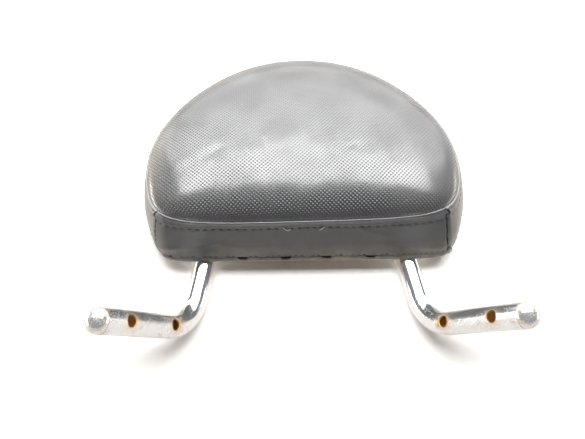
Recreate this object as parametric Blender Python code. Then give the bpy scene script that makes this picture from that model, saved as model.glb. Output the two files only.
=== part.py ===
"""Motorcycle backrest pad on a bent tube hoop, lying on its back.

Metres, +Z up. The origin is on the supporting surface, below the middle of the whole part:
+Y points to the top of the pad and +Z is the way its front faces. The hoop's legs and its
round end lie on the surface, and its two arms bend up from it. The dimensions below count y
from the line that the hoop's legs are measured on, and main() moves the finished part so
that the origin is in its middle.
"""
import math

import bmesh
import bpy
from mathutils import Matrix, Vector

MM = 0.001

# Fits between pieces
TOUCH_GAP = 0.3 * MM
SEAM_GAP = 0.4 * MM
LINING_GAP = 0.8 * MM

# Hoop tube
TUBE_OD = 19.05 * MM
TUBE_WALL = 1.6 * MM
LEG_SPACING = 181.2 * MM
LEG_SPLAY = math.radians(8.2)
LEG_REACH = 59.4 * MM
HOOP_CENTRE_Y = 100.0 * MM
BEND_RADIUS = 32.4 * MM
ARM_LENGTH = 90.0 * MM
ARM_SPLAY = math.radians(30.3)
ARM_LEAN = math.radians(12.0)
ARM_HOLE_OD = 9.0 * MM
ARM_HOLE_FIRST = 26.0 * MM
ARM_HOLE_LAST = 20.0 * MM
PLUG_LENGTH = 8.0 * MM

# Outline of the front seam and of the hem, both taken about the pad's widest line
SEAM_SHIFT = -1.8 * MM
HEM_SHIFT = 0.7 * MM
PAD_LEAN = 0.015
WIDEST_Y = 80.0 * MM
SEAM_HALF_WIDTH = 137.5 * MM
SEAM_BELOW = 67.4 * MM
SEAM_ABOVE = 135.6 * MM
SEAM_SHARPNESS = 7.3
HEM_HALF_WIDTH = 149.5 * MM
HEM_BELOW = 84.1 * MM
HEM_ABOVE = 140.6 * MM
HEM_SHARPNESS = 23.0
SHOULDER_DROP = 0.032
BAND_BELLY = 0.3 * MM
SEAM_TILT = math.radians(1.3)
HEM_TILT = math.radians(0.1)
CORNER_FRONT_SHARE = 0.862
CORNER_HEM_SHARE = 0.894
FRONT_SKEW = math.radians(0.3)
HEM_SKEW = math.radians(1.1)

# Heights of the cover and the crown of its front
HEM_THICKNESS_Z = 5.5 * MM
BAND_HEIGHT = 42.0 * MM
WEDGE = 0.079
CROWN_HEIGHT = 22.3 * MM
CROWN_CENTRE_Y = 100.0 * MM
CROWN_ROUND = 2.6
CROWN_EDGE = 0.62
VINYL = 1.2 * MM
SEAM_RIDGE = 0.9 * MM
STITCH_DROP = 6.0 * MM
HEM_TURN = 16.0 * MM

# Board, tabs and their fasteners
BOARD_THICKNESS = 12.0 * MM
TAB_THICKNESS = 3.0 * MM
TAB_LENGTH = 24.0 * MM
TAB_REACH = 30.0 * MM
TAB_LAP = 4.0 * MM
TAB_HEM_GAP = 5.0 * MM
TAB_CORNER_GAP = 3.0 * MM
TAB_UPPER_Y = 95.0 * MM
BOLT_OD = 6.0 * MM
BOLT_LENGTH = 16.0 * MM
BOLT_INSET = 20.0 * MM
BOLT_HEAD_AF = 10.0 * MM
BOLT_HEAD_HEIGHT = 4.0 * MM
WASHER_OD = 12.5 * MM
WASHER_THICKNESS = 1.6 * MM
NUT_FLANGE_OD = 18.0 * MM
NUT_FLANGE_THICKNESS = 1.4 * MM
NUT_BARREL_WALL = 0.9 * MM
NUT_LENGTH = 9.0 * MM

# Heights that follow from the values above
TUBE_R = TUBE_OD / 2
HEM_Z = TUBE_OD + TOUCH_GAP
BOARD_Z = HEM_Z + VINYL + TOUCH_GAP
BOARD_TOP_Z = BOARD_Z + BOARD_THICKNESS
HEM_SEAM_Z = HEM_Z + HEM_THICKNESS_Z
SEAM_Z = HEM_Z + BAND_HEIGHT
TAB_TOP_Z = BOARD_Z - TOUCH_GAP
TAB_Z = TAB_TOP_Z - TAB_THICKNESS
WASHER_Z = TAB_Z - TOUCH_GAP - WASHER_THICKNESS
HEAD_TOP_Z = WASHER_Z - TOUCH_GAP

# Corners of the edge band, as angles below the widest line
CORNER_FRONT = CORNER_FRONT_SHARE * math.asin(min(1.0, SEAM_BELOW / SEAM_HALF_WIDTH))
CORNER_HEM = CORNER_HEM_SHARE * math.asin(min(1.0, HEM_BELOW / HEM_HALF_WIDTH))

# Mesh densities
TUBE_SIDES = 20
BEND_STEP = math.radians(8.0)
BOTTOM_STEPS = 20
SIDE_STEPS = 38
HOLE_SIDES = 18


def material(name, colour, roughness, metallic=0.0):
    made = bpy.data.materials.new(name)
    made.use_nodes = True
    shader = made.node_tree.nodes["Principled BSDF"]
    shader.inputs["Base Color"].default_value = (*colour, 1.0)
    shader.inputs["Roughness"].default_value = roughness
    shader.inputs["Metallic"].default_value = metallic
    return made


def finish(name, mesh, made, smooth_angle=None):
    """Link a mesh as a named object with its material."""
    obj = bpy.data.objects.new(name, mesh)
    bpy.context.scene.collection.objects.link(obj)
    mesh.materials.clear()
    mesh.materials.append(made)
    if smooth_angle is not None:
        mesh.shade_smooth()
        mesh.set_sharp_from_angle(angle=math.radians(smooth_angle))
    return obj


def mesh_from(name, verts, faces):
    mesh = bpy.data.meshes.new(name)
    mesh.from_pydata([tuple(v) for v in verts], [], faces)
    mesh.update()
    return mesh


def ring_faces(first, second, count, closed=True):
    """Quads between two rows of count vertices that start at the given indices."""
    faces = []
    for i in range(count if closed else count - 1):
        j = (i + 1) % count
        faces.append((first + i, first + j, second + j, second + i))
    return faces


def turned(name, profile, sides, made, ring=False):
    """Solid turned about Z from a profile of (radius, height).

    The profile starts and ends on the axis, or with ring it is a closed loop clear of it.
    """
    bm = bmesh.new()
    verts = [bm.verts.new((radius, 0.0, height)) for radius, height in profile]
    pairs = list(zip(verts, verts[1:]))
    if ring:
        pairs.append((verts[-1], verts[0]))
    edges = [bm.edges.new(pair) for pair in pairs]
    bmesh.ops.spin(bm, geom=verts + edges, cent=(0, 0, 0), axis=(0, 0, 1),
                   angle=2 * math.pi, steps=sides, use_merge=True)
    bmesh.ops.remove_doubles(bm, verts=bm.verts, dist=1e-6)
    bmesh.ops.recalc_face_normals(bm, faces=bm.faces)
    mesh = bpy.data.meshes.new(name)
    bm.to_mesh(mesh)
    bm.free()
    return finish(name, mesh, made, 30)


def cylinder_cutter(name, radius, start, end):
    """Hidden cylinder between two points, for a Boolean."""
    bm = bmesh.new()
    axis = end - start
    bmesh.ops.create_cone(bm, cap_ends=True, segments=HOLE_SIDES, radius1=radius,
                          radius2=radius, depth=axis.length)
    turn = Vector((0, 0, 1)).rotation_difference(axis).to_matrix().to_4x4()
    bm.transform(Matrix.Translation((start + end) / 2) @ turn)
    mesh = bpy.data.meshes.new(name)
    bm.to_mesh(mesh)
    bm.free()
    obj = bpy.data.objects.new(name, mesh)
    bpy.context.scene.collection.objects.link(obj)
    obj.hide_render = True
    obj.display_type = "WIRE"
    return obj


def cut(obj, cutter):
    boolean = obj.modifiers.new("cut " + cutter.name, "BOOLEAN")
    boolean.operation = "DIFFERENCE"
    boolean.solver = "EXACT"
    boolean.object = cutter


# The hoop's centre line

def leg_point(y, side):
    """Point on a leg's axis at height y of the pad."""
    return Vector((side * (LEG_SPACING / 2 - y * math.tan(LEG_SPLAY)), y, TUBE_R))


def leg_direction(side):
    return Vector((side * math.sin(LEG_SPLAY), -math.cos(LEG_SPLAY), 0.0))


def arm_direction(side):
    return Vector((side * math.tan(ARM_SPLAY), -math.tan(ARM_LEAN), 1.0)).normalized()


def arm_corner(side):
    """Where the axes of a leg and its arm cross."""
    return leg_point(-LEG_REACH, side)


def arm_point(distance, side):
    return arm_corner(side) + arm_direction(side) * distance


def bend_points(side):
    """Points of the bend between a leg and its arm, from the leg to the arm."""
    along = leg_direction(side)
    arm = arm_direction(side)
    turn = along.angle(arm)
    inward = (arm - along * along.dot(arm)).normalized()
    start = arm_corner(side) - along * BEND_RADIUS * math.tan(turn / 2)
    centre = start + inward * BEND_RADIUS
    count = max(4, round(turn / BEND_STEP))
    points = []
    for i in range(count + 1):
        angle = turn * i / count
        points.append(centre - inward * BEND_RADIUS * math.cos(angle)
                      + along * BEND_RADIUS * math.sin(angle))
    return points


def hoop_half(side):
    """Centre line from the top of the hoop to the end of one arm."""
    radius = LEG_SPACING / 2 * math.cos(LEG_SPLAY) - HOOP_CENTRE_Y * math.sin(LEG_SPLAY)
    sweep = math.pi / 2 - LEG_SPLAY
    count = max(6, round(sweep / BEND_STEP))
    points = []
    for i in range(count + 1):
        angle = math.pi / 2 - sweep * i / count
        points.append(Vector((side * radius * math.cos(angle),
                              HOOP_CENTRE_Y + radius * math.sin(angle), TUBE_R)))
    points += bend_points(side)
    points.append(arm_point(ARM_LENGTH - TOUCH_GAP, side))
    return points


def make_hoop(chrome):
    left = hoop_half(-1)
    right = hoop_half(1)
    points = left[::-1] + right[1:]
    curve = bpy.data.curves.new("hoop_path", "CURVE")
    curve.dimensions = "3D"
    curve.bevel_depth = TUBE_R
    curve.bevel_resolution = TUBE_SIDES // 2 - 2
    curve.use_fill_caps = False
    spline = curve.splines.new("POLY")
    spline.points.add(len(points) - 1)
    for place, point in zip(spline.points, points):
        place.co = (*point, 1.0)
    path = bpy.data.objects.new("hoop_path", curve)
    bpy.context.scene.collection.objects.link(path)
    bpy.context.view_layer.update()
    swept = bpy.data.meshes.new_from_object(path.evaluated_get(
        bpy.context.evaluated_depsgraph_get()))
    bpy.data.objects.remove(path)
    bm = bmesh.new()
    bm.from_mesh(swept)
    bmesh.ops.remove_doubles(bm, verts=bm.verts, dist=1e-6)
    bmesh.ops.recalc_face_normals(bm, faces=bm.faces)
    bm.to_mesh(swept)
    bm.free()
    hoop = finish("hoop_tube", swept, chrome, 30)
    wall = hoop.modifiers.new("wall", "SOLIDIFY")
    wall.thickness = TUBE_WALL
    wall.offset = -1.0
    for side in (-1, 1):
        across = arm_direction(side).cross(Vector((0, 1, 0))).normalized()
        for number, distance in enumerate((ARM_HOLE_FIRST, ARM_LENGTH - ARM_HOLE_LAST)):
            centre = arm_point(distance, side)
            cutter = cylinder_cutter(f"arm_hole_{side}_{number}", ARM_HOLE_OD / 2,
                                     centre - across * TUBE_OD, centre + across * TUBE_OD)
            cut(hoop, cutter)
    return hoop


def make_domes(chrome):
    plug_r = TUBE_R - TUBE_WALL - TOUCH_GAP
    arc = 6
    profile = [(0.0, -PLUG_LENGTH), (plug_r, -PLUG_LENGTH), (plug_r, 0.0), (TUBE_R, 0.0)]
    for i in range(1, arc + 1):
        angle = math.pi / 2 * i / arc
        profile.append((TUBE_R * math.cos(angle) if i < arc else 0.0, TUBE_R * math.sin(angle)))
    for side, word in ((-1, "left"), (1, "right")):
        dome = turned(f"end_dome_{word}", profile, TUBE_SIDES, chrome)
        dome.location = arm_point(ARM_LENGTH, side)
        dome.rotation_mode = "QUATERNION"
        dome.rotation_quaternion = Vector((0, 0, 1)).rotation_difference(arm_direction(side))


# The cover's outer skin

def corner_angle(side, down):
    """Polar angle of a corner seam, from the front seam (down 0) to the hem (down 1)."""
    flare = math.sin(math.pi / 2 * down)
    below = CORNER_FRONT + (CORNER_HEM - CORNER_FRONT) * flare
    below += side * (FRONT_SKEW + (HEM_SKEW - FRONT_SKEW) * flare)
    return -below if side > 0 else math.pi + below


def outline(angle, half_width, below, above, sharpness, tilt):
    """Point of a half-moon outline at a polar angle about the pad's widest line.

    The round side and top meet the straight bottom edge in a corner, which is tighter the
    larger the sharpness. Tilt turns the bottom edge. The shoulders drop a little inside a
    true ellipse.
    """
    c = math.cos(angle)
    s = math.sin(angle)
    side = 1.0 / math.hypot(c / half_width, max(s, 0.0) / above, min(s, 0.0) / half_width)
    if s > 0.0:
        side *= 1.0 - SHOULDER_DROP * math.sin(2 * angle) ** 2 * abs(c)
    towards_bottom = -math.sin(angle - tilt)
    if towards_bottom > 0.0:
        share = side * towards_bottom / below
        side *= (1.0 + share ** sharpness) ** (-1.0 / sharpness)
    return side * c, side * s


def seam_height(angle):
    """Height of the front seam, which drops towards the top of the pad."""
    y = outline(angle, SEAM_HALF_WIDTH, SEAM_BELOW, SEAM_ABOVE, SEAM_SHARPNESS, SEAM_TILT)[1]
    return SEAM_Z - WEDGE * (y + SEAM_BELOW)


def skin_point(angle, down, inset=0.0):
    """Point of the edge band's outer skin: down is 0 at the front seam and 1 at the back."""
    flare = math.sin(math.pi / 2 * down)
    half_width = SEAM_HALF_WIDTH + (HEM_HALF_WIDTH - SEAM_HALF_WIDTH) * flare - inset
    half_width += BAND_BELLY * math.sin(math.pi * down)
    below = SEAM_BELOW + (HEM_BELOW - SEAM_BELOW) * down - inset
    above = SEAM_ABOVE + (HEM_ABOVE - SEAM_ABOVE) * flare - inset
    shift = SEAM_SHIFT + (HEM_SHIFT - SEAM_SHIFT) * down
    sharpness = SEAM_SHARPNESS + (HEM_SHARPNESS - SEAM_SHARPNESS) * down
    tilt = SEAM_TILT + (HEM_TILT - SEAM_TILT) * down
    x, y = outline(angle, half_width, below, above, sharpness, tilt)
    top = seam_height(angle)
    return Vector((shift + x + PAD_LEAN * y, WIDEST_Y + y, top + (HEM_Z - top) * down))


def down_at(angle, z):
    top = seam_height(angle)
    return (top - z) / (top - HEM_Z)


def crown_point(angle, share, inset=0.0):
    """Point of the front's outer skin: share is 1 at the seam and 0 at the crown's centre."""
    edge = skin_point(angle, 0.0, inset)
    centre_x = SEAM_SHIFT + PAD_LEAN * (CROWN_CENTRE_Y - WIDEST_Y)
    x = centre_x + (edge.x - centre_x) * share
    y = CROWN_CENTRE_Y + (edge.y - CROWN_CENTRE_Y) * share
    base = SEAM_Z - WEDGE * (y - WIDEST_Y + SEAM_BELOW)
    rise = CROWN_HEIGHT * (1.0 - share ** CROWN_ROUND) ** CROWN_EDGE
    return Vector((x, y, base + rise - inset))


def spread(share):
    """Share of the way between two corners, with its steps closer together near both."""
    return share - 0.5 * math.sin(2 * math.pi * share) / (2 * math.pi)


def cover_angles():
    """Polar angles round the whole cover, closer together near its lower corners."""
    right = corner_angle(1, 1.0)
    left = corner_angle(-1, 1.0) - 2 * math.pi
    bottom = [left + (right - left) * spread(i / BOTTOM_STEPS) for i in range(BOTTOM_STEPS)]
    sweep = 2 * math.pi - (right - left)
    return bottom + [right + sweep * spread(i / SIDE_STEPS) for i in range(SIDE_STEPS)]


def wall_of(obj, thickness):
    """Give an open sheet its thickness, inwards."""
    wall = obj.modifiers.new("vinyl", "SOLIDIFY")
    wall.thickness = thickness
    wall.offset = -1.0
    return obj


def band_profile(down_end):
    """Steps down a band as (down, outward bulge): the seam ridge, the stitch line, the plain part."""
    stitch = STITCH_DROP / BAND_HEIGHT
    steps = [(0.0, SEAM_RIDGE), (stitch * 0.25, SEAM_RIDGE), (stitch * 0.5, 0.1 * MM),
             (stitch, -0.2 * MM), (stitch * 1.4, 0.0)]
    first = steps[-1][0]
    for i in range(1, 4):
        steps.append((first + (down_end - first) * i / 3, 0.0))
    return steps


def make_band(name, start_side, steps, vinyl):
    """One strip of the edge band between the two corner seams, from start_side anticlockwise."""
    rows = []
    reach = SEAM_GAP / SEAM_HALF_WIDTH
    seam_down = SEAM_GAP / 2 / BAND_HEIGHT
    for place, (down, bulge) in enumerate(band_profile(1.0)):
        row = []
        for i in range(steps + 1):
            start = corner_angle(start_side, down)
            end = corner_angle(-start_side, down)
            while end < start:
                end += 2 * math.pi
            while end - start > 2 * math.pi:
                end -= 2 * math.pi
            angle = start + reach + (end - start - 2 * reach) * spread(i / steps)
            last = down_at(angle, HEM_SEAM_Z + SEAM_GAP / 2)
            level = seam_down + (last - seam_down) * down
            row.append(skin_point(angle, level, -bulge))
        rows.append(row)
    verts = [point for row in rows for point in row]
    faces = []
    for r in range(len(rows) - 1):
        faces += ring_faces((r + 1) * (steps + 1), r * (steps + 1), steps + 1, closed=False)
    return wall_of(finish(name, mesh_from(name, verts, faces), vinyl, 60), VINYL)


def make_front(vinyl):
    angles = cover_angles()
    shares = (1.0, 0.99, 0.965, 0.92, 0.86, 0.78, 0.68, 0.55, 0.38, 0.19)
    lift = SEAM_GAP / 2
    verts = []
    for share in shares:
        for angle in angles:
            point = crown_point(angle, share)
            point.z += lift
            verts.append(point)
    count = len(angles)
    faces = []
    for r in range(len(shares) - 1):
        faces += ring_faces(r * count, (r + 1) * count, count)
    middle = crown_point(0.0, 0.0)
    verts.append(middle + Vector((0.0, 0.0, lift)))
    last = (len(shares) - 1) * count
    faces += [(last + i, last + (i + 1) % count, len(verts) - 1) for i in range(count)]
    return wall_of(finish("front_panel", mesh_from("front_panel", verts, faces), vinyl, 60),
                   VINYL)


def make_hem(vinyl):
    """Strip from the hem seam down the edge and under the board."""
    angles = cover_angles()
    rows = []
    steps = ((0.0, None), (0.0, 0.35), (0.12, 0.1), (0.4, 0.0), (1.0, 0.0))
    corner = 4.0 * MM
    for turn, height in steps:
        row = []
        for angle in angles:
            top = HEM_SEAM_Z - SEAM_GAP / 2
            z = top if height is None else HEM_Z + (top - HEM_Z) * height
            inset = turn * corner if turn < 1.0 else HEM_TURN
            point = skin_point(angle, down_at(angle, z), inset)
            point.z = z
            row.append(point)
        rows.append(row)
    count = len(angles)
    verts = [point for row in rows for point in row]
    faces = []
    for r in range(len(rows) - 1):
        faces += ring_faces((r + 1) * count, r * count, count)
    return wall_of(finish("hem_strip", mesh_from("hem_strip", verts, faces), vinyl, 60), VINYL)


def capped_loft(name, rows, made, smooth_angle):
    """Solid through closed rows of points, from the lowest row up, with flat n-gon ends."""
    count = len(rows[0])
    verts = [point for row in rows for point in row]
    faces = [tuple(reversed(range(count)))]
    for r in range(len(rows) - 1):
        faces += ring_faces(r * count, (r + 1) * count, count)
    last = (len(rows) - 1) * count
    faces.append(tuple(range(last, last + count)))
    return finish(name, mesh_from(name, verts, faces), made, smooth_angle)


def make_foam(foam):
    inset = VINYL + LINING_GAP
    angles = cover_angles()
    foot = BOARD_TOP_Z + TOUCH_GAP
    rows = []
    for share in (0.0, 0.35, 0.7):
        row = []
        for angle in angles:
            top = seam_height(angle) - inset
            z = foot + (top - foot) * share
            point = skin_point(angle, down_at(angle, z), inset)
            point.z = z
            row.append(point)
        rows.append(row)
    for share in (1.0, 0.97, 0.9, 0.8, 0.65, 0.45, 0.2):
        rows.append([crown_point(angle, share, inset) for angle in angles])
    return capped_loft("foam_core", rows, foam, 60)


def clears_hem(side, y):
    """Whether a tab's outer lower corner keeps its gap to the turned hem."""
    corner = leg_point(y, side) + inward_of(side) * TAB_LAP
    corner += leg_direction(side) * TAB_LENGTH / 2
    angle = math.atan2(corner.y - WIDEST_Y, corner.x - HEM_SHIFT)
    edge = skin_point(angle, 1.0, HEM_TURN)
    reach = math.hypot(corner.x - HEM_SHIFT, corner.y - WIDEST_Y)
    return math.hypot(edge.x - HEM_SHIFT, edge.y - WIDEST_Y) - reach > TAB_CORNER_GAP


def tab_lower_y():
    """Leg height of the lower tabs, above the turned hem and inside its corners."""
    y = WIDEST_Y - HEM_BELOW + HEM_TURN + TAB_HEM_GAP + TAB_LENGTH / 2
    while not (clears_hem(-1, y) and clears_hem(1, y)):
        y += MM
    return y


def tab_frames():
    """Name, side and leg height of each tab."""
    frames = []
    for row, y in (("lower", tab_lower_y()), ("upper", TAB_UPPER_Y)):
        for word, side in (("left", -1), ("right", 1)):
            frames.append((f"{row}_{word}", side, y))
    return frames


def bolt_place(side, y):
    """Axis of a tab's bolt, as a point at height zero."""
    point = leg_point(y, side) + inward_of(side) * BOLT_INSET
    return Vector((point.x, point.y, 0.0))


def inward_of(side):
    """Direction square to a leg, towards the middle of the hoop."""
    return Vector((-side * math.cos(LEG_SPLAY), -math.sin(LEG_SPLAY), 0.0))


def make_board(plywood):
    inset = VINYL + LINING_GAP
    angles = cover_angles()
    rows = []
    for z in (BOARD_Z, BOARD_TOP_Z):
        row = []
        for angle in angles:
            point = skin_point(angle, down_at(angle, z), inset)
            point.z = z
            row.append(point)
        rows.append(row)
    board = capped_loft("base_board", rows, plywood, 40)
    barrel_r = BOLT_OD / 2 + TOUCH_GAP + NUT_BARREL_WALL + TOUCH_GAP
    for name, side, y in tab_frames():
        foot = bolt_place(side, y)
        up = Vector((0, 0, 1))
        hole = cylinder_cutter(f"board_hole_{name}", barrel_r, foot + up * (BOARD_Z - 5 * MM),
                               foot + up * (BOARD_TOP_Z + 5 * MM))
        cut(board, hole)
        seat = cylinder_cutter(f"board_seat_{name}", NUT_FLANGE_OD / 2 + TOUCH_GAP,
                               foot + up * (BOARD_TOP_Z - NUT_FLANGE_THICKNESS - 2 * TOUCH_GAP),
                               foot + up * (BOARD_TOP_Z + 5 * MM))
        cut(board, seat)
    return board


def make_tabs(steel):
    """Flat tabs whose outer end is hollowed to sit on the tube's shoulder."""
    for name, side, y in tab_frames():
        root = leg_point(y, side)
        inward = inward_of(side)
        along = leg_direction(side)
        bm = bmesh.new()
        half = TAB_LENGTH / 2
        nose = 6.0 * MM
        shape = [(TAB_LAP, -half), (TAB_REACH - nose, -half)]
        for i in range(1, 6):
            angle = -math.pi / 2 + math.pi / 2 * i / 6
            shape.append((TAB_REACH - nose + nose * math.cos(angle),
                          -half + nose + nose * math.sin(angle)))
        shape += [(TAB_REACH, -half + nose), (TAB_REACH, half - nose)]
        for i in range(1, 6):
            angle = math.pi / 2 * i / 6
            shape.append((TAB_REACH - nose + nose * math.cos(angle),
                          half - nose + nose * math.sin(angle)))
        shape += [(TAB_REACH - nose, half), (TAB_LAP, half)]
        verts = []
        for reach, run in shape:
            place = root + inward * reach + along * run
            verts.append(bm.verts.new((place.x, place.y, TAB_Z)))
        face = bm.faces.new(verts)
        lifted = bmesh.ops.extrude_face_region(bm, geom=[face])
        tops = [g for g in lifted["geom"] if isinstance(g, bmesh.types.BMVert)]
        bmesh.ops.translate(bm, verts=tops, vec=(0, 0, TAB_THICKNESS))
        bmesh.ops.recalc_face_normals(bm, faces=bm.faces)
        mesh = bpy.data.meshes.new(f"tab_{name}")
        bm.to_mesh(mesh)
        bm.free()
        tab = finish(f"tab_{name}", mesh, steel)
        cut(tab, cylinder_cutter(f"tab_seat_{name}", TUBE_R + TOUCH_GAP,
                                 root - along * TAB_LENGTH, root + along * TAB_LENGTH))
        foot = bolt_place(side, y)
        up = Vector((0, 0, 1))
        cut(tab, cylinder_cutter(f"tab_hole_{name}", BOLT_OD / 2 + TOUCH_GAP,
                                 foot + up * (TAB_Z - 5 * MM), foot + up * (TAB_TOP_Z + 5 * MM)))


def make_bolts(zinc):
    """Hex-head bolts that point up into the board."""
    chamfer = 0.5 * MM
    corner_r = BOLT_HEAD_AF / 2 / math.cos(math.pi / 6)
    shank_r = BOLT_OD / 2
    for name, side, y in tab_frames():
        bm = bmesh.new()
        rings = ((corner_r - chamfer, HEAD_TOP_Z - BOLT_HEAD_HEIGHT),
                 (corner_r, HEAD_TOP_Z - BOLT_HEAD_HEIGHT + chamfer), (corner_r, HEAD_TOP_Z))
        head = []
        for radius, z in rings:
            ring = []
            for i in range(6):
                angle = math.pi / 3 * i
                ring.append(bm.verts.new((radius * math.cos(angle), radius * math.sin(angle), z)))
            head.append(ring)
        bm.faces.new(list(reversed(head[0])))
        for lower, upper in zip(head, head[1:]):
            for i in range(6):
                j = (i + 1) % 6
                bm.faces.new((lower[i], lower[j], upper[j], upper[i]))
        shank = []
        tip = HEAD_TOP_Z + BOLT_LENGTH
        for radius, z in ((shank_r, HEAD_TOP_Z), (shank_r, tip - chamfer),
                          (shank_r - chamfer, tip)):
            ring = []
            for i in range(HOLE_SIDES):
                angle = 2 * math.pi * i / HOLE_SIDES
                ring.append(bm.verts.new((radius * math.cos(angle), radius * math.sin(angle), z)))
            shank.append(ring)
        per_side = HOLE_SIDES // 6
        for i in range(6):
            j = (i + 1) % 6
            arc = [shank[0][(i * per_side + k) % HOLE_SIDES] for k in range(per_side + 1)]
            bm.faces.new([head[2][i], head[2][j]] + list(reversed(arc)))
        for lower, upper in zip(shank, shank[1:]):
            for i in range(HOLE_SIDES):
                j = (i + 1) % HOLE_SIDES
                bm.faces.new((lower[i], lower[j], upper[j], upper[i]))
        bm.faces.new(shank[2])
        bmesh.ops.recalc_face_normals(bm, faces=bm.faces)
        mesh = bpy.data.meshes.new(f"bolt_{name}")
        bm.to_mesh(mesh)
        bm.free()
        bolt = finish(f"bolt_{name}", mesh, zinc, 30)
        bolt.location = bolt_place(side, y)


def make_washers(zinc):
    inner = BOLT_OD / 2 + TOUCH_GAP
    outer = WASHER_OD / 2
    top = WASHER_Z + WASHER_THICKNESS
    profile = [(inner, WASHER_Z), (outer, WASHER_Z), (outer, top), (inner, top)]
    for name, side, y in tab_frames():
        washer = turned(f"washer_{name}", profile, HOLE_SIDES, zinc, ring=True)
        washer.location = bolt_place(side, y)


def make_nuts(zinc):
    """Flanged tee nuts sunk in the board's front face."""
    bore = BOLT_OD / 2 + TOUCH_GAP
    barrel = bore + NUT_BARREL_WALL
    top = BOARD_TOP_Z - TOUCH_GAP
    under = top - NUT_FLANGE_THICKNESS
    profile = [(bore, top - NUT_LENGTH), (barrel, top - NUT_LENGTH), (barrel, under),
               (NUT_FLANGE_OD / 2, under), (NUT_FLANGE_OD / 2, top), (bore, top)]
    for name, side, y in tab_frames():
        nut = turned(f"tee_nut_{name}", profile, HOLE_SIDES, zinc, ring=True)
        nut.location = bolt_place(side, y)


def main():
    for obj in list(bpy.data.objects):
        bpy.data.objects.remove(obj)
    chrome = material("chrome", (0.80, 0.81, 0.82), 0.10, 1.0)
    vinyl = material("black_vinyl", (0.045, 0.046, 0.048), 0.42)
    plain_vinyl = material("plain_vinyl", (0.050, 0.052, 0.055), 0.46)
    foam = material("foam", (0.62, 0.55, 0.36), 0.90)
    plywood = material("plywood", (0.42, 0.29, 0.17), 0.70)
    steel = material("tab_steel", (0.70, 0.71, 0.72), 0.25, 1.0)
    zinc = material("zinc", (0.66, 0.66, 0.62), 0.35, 1.0)
    make_hoop(chrome)
    make_domes(chrome)
    make_front(vinyl)
    make_band("bottom_band", -1, BOTTOM_STEPS, plain_vinyl)
    make_band("side_band", 1, SIDE_STEPS, plain_vinyl)
    make_hem(plain_vinyl)
    make_board(plywood)
    make_foam(foam)
    make_tabs(steel)
    make_bolts(zinc)
    make_washers(zinc)
    make_nuts(zinc)
    lowest_y = arm_point(ARM_LENGTH, 1).y - TUBE_R
    highest_y = WIDEST_Y + HEM_ABOVE
    for obj in bpy.data.objects:
        obj.location.y -= (lowest_y + highest_y) / 2


main()
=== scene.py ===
"""Looks of a backrest pad that lies on its back, on its bent tube hoop.

Metres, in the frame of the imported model. The cover's outline is written about the line
that the hoop's legs are measured on, and MIDDLE_Y moves it to the middle of the part.
"""
import math

import bmesh
import bpy
import numpy as np
from mathutils import Matrix, Vector


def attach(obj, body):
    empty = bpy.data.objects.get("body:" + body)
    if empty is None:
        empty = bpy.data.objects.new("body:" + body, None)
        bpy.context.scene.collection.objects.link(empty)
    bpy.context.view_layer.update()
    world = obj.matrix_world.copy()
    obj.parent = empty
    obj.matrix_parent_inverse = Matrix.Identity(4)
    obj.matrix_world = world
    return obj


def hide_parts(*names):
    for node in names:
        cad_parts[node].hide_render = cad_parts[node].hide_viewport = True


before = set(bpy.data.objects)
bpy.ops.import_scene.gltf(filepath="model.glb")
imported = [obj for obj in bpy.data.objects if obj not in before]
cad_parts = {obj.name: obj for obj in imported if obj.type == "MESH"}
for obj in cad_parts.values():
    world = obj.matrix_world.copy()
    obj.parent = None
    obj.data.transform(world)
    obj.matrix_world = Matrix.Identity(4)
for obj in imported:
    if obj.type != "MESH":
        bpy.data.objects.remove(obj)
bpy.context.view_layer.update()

MM = 0.001
MIDDLE_Y = 67.7147 * MM

# Hoop
TUBE_R = 9.525 * MM
TUBE_WALL = 1.6 * MM
LEG_SPACING = 181.2 * MM
LEG_SPLAY = math.radians(8.2)
LEG_REACH = 59.4 * MM
HOOP_CENTRE_Y = 100.0 * MM
BEND_RADIUS = 32.4 * MM
ARM_LENGTH = 90.0 * MM
ARM_SPLAY = math.radians(30.3)
ARM_LEAN = math.radians(12.0)
HOLE_R = 4.5 * MM
HOLE_PLACES = (26.0 * MM, 70.0 * MM)
HOLE_RUST = (1.0, 0.7)
RUST_REACH = 1.5 * MM
DOME_STAIN = 0.16
SPIGOT_LENGTH = 8.0 * MM
TAB_LOWER_Y = 28.9 * MM
TAB_UPPER_Y = 95.0 * MM
TAB_LENGTH = 24.0 * MM
TAB_Z = 17.55 * MM
JOINT_GAP = 0.3 * MM
TUBE_SIDES = 56

# Weld beads: radius and ripple in millimetres, and radians of ripple over half a bead
WELD_R = 1.9
WELD_RIPPLE = 0.28
WELD_RIPPLES = 17.0

# Cover
SEAM_SHIFT = -1.8 * MM
HEM_SHIFT = 0.7 * MM
PAD_LEAN = 0.015
WIDEST_Y = 80.0 * MM
SEAM_HALF_WIDTH = 137.5 * MM
SEAM_BELOW = 67.4 * MM
SEAM_ABOVE = 135.6 * MM
SEAM_SHARPNESS = 7.3
HEM_HALF_WIDTH = 149.5 * MM
HEM_BELOW = 84.1 * MM
HEM_ABOVE = 140.6 * MM
HEM_SHARPNESS = 23.0
SHOULDER_DROP = 0.032
BAND_BELLY = 0.3 * MM
SEAM_TILT = math.radians(1.3)
HEM_TILT = math.radians(0.1)
CORNER_FRONT = math.radians(25.3)
CORNER_HEM = math.radians(30.6)
FRONT_SKEW = math.radians(0.3)
HEM_SKEW = math.radians(1.1)
HEM_Z = 19.35 * MM
HEM_SEAM_Z = 24.85 * MM
SEAM_Z = 61.35 * MM
BAND_HEIGHT = SEAM_Z - HEM_Z
WEDGE = 0.079
CROWN_HEIGHT = 22.3 * MM
CROWN_CENTRE_Y = 100.0 * MM
CROWN_ROUND = 2.6
CROWN_EDGE = 0.62
COVER_WALL = 0.96 * MM
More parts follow.
